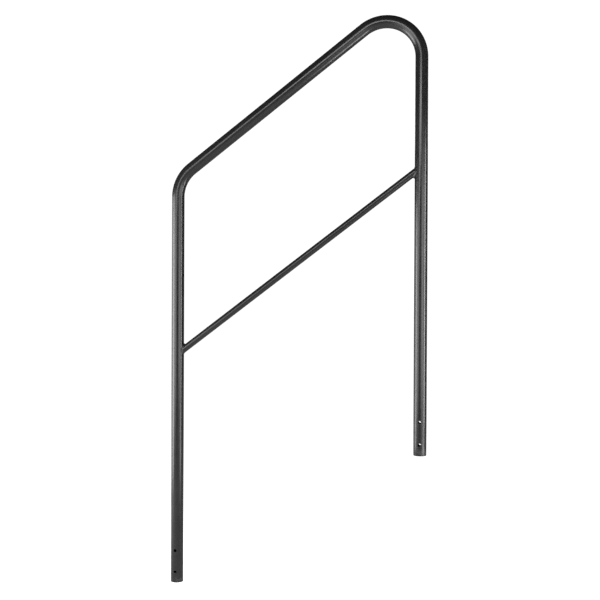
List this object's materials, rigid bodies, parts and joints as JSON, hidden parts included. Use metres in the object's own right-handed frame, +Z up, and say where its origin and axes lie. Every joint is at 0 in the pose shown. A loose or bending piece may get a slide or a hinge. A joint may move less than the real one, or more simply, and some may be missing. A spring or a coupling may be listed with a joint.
{
  "type": "pool handrail",
  "caption": "Sloped tubular pool stair handrail: one bent tube forms both posts and the top rail, with a parallel welded middle bar and cross-bolt holes in each post.",
  "frame": {"origin": "centre of the flat foot of the lower post, on the post's axis", "axes": "+Z up along the posts, +X from the lower post towards the upper post, +Y square to the plane of the rail, along the bolt holes"},
  "size_m": [0.715, 0.035, 1.5595],
  "materials": {
    "coated_tube": "satin black powder coat with fine orange peel",
    "coated_weld": "satin black powder coat over a rippled weld bead",
    "plug_plastic": "moulded black polyethylene, matte"
  },
  "bodies": {
    "root": {"handrail_tube": "coated_tube", "middle_bar": "coated_tube", "weld_bead_lower": "coated_weld", "weld_bead_upper": "coated_weld", "end_plug_lower": "plug_plastic", "end_plug_upper": "plug_plastic"}
  },
  "joints": []
}
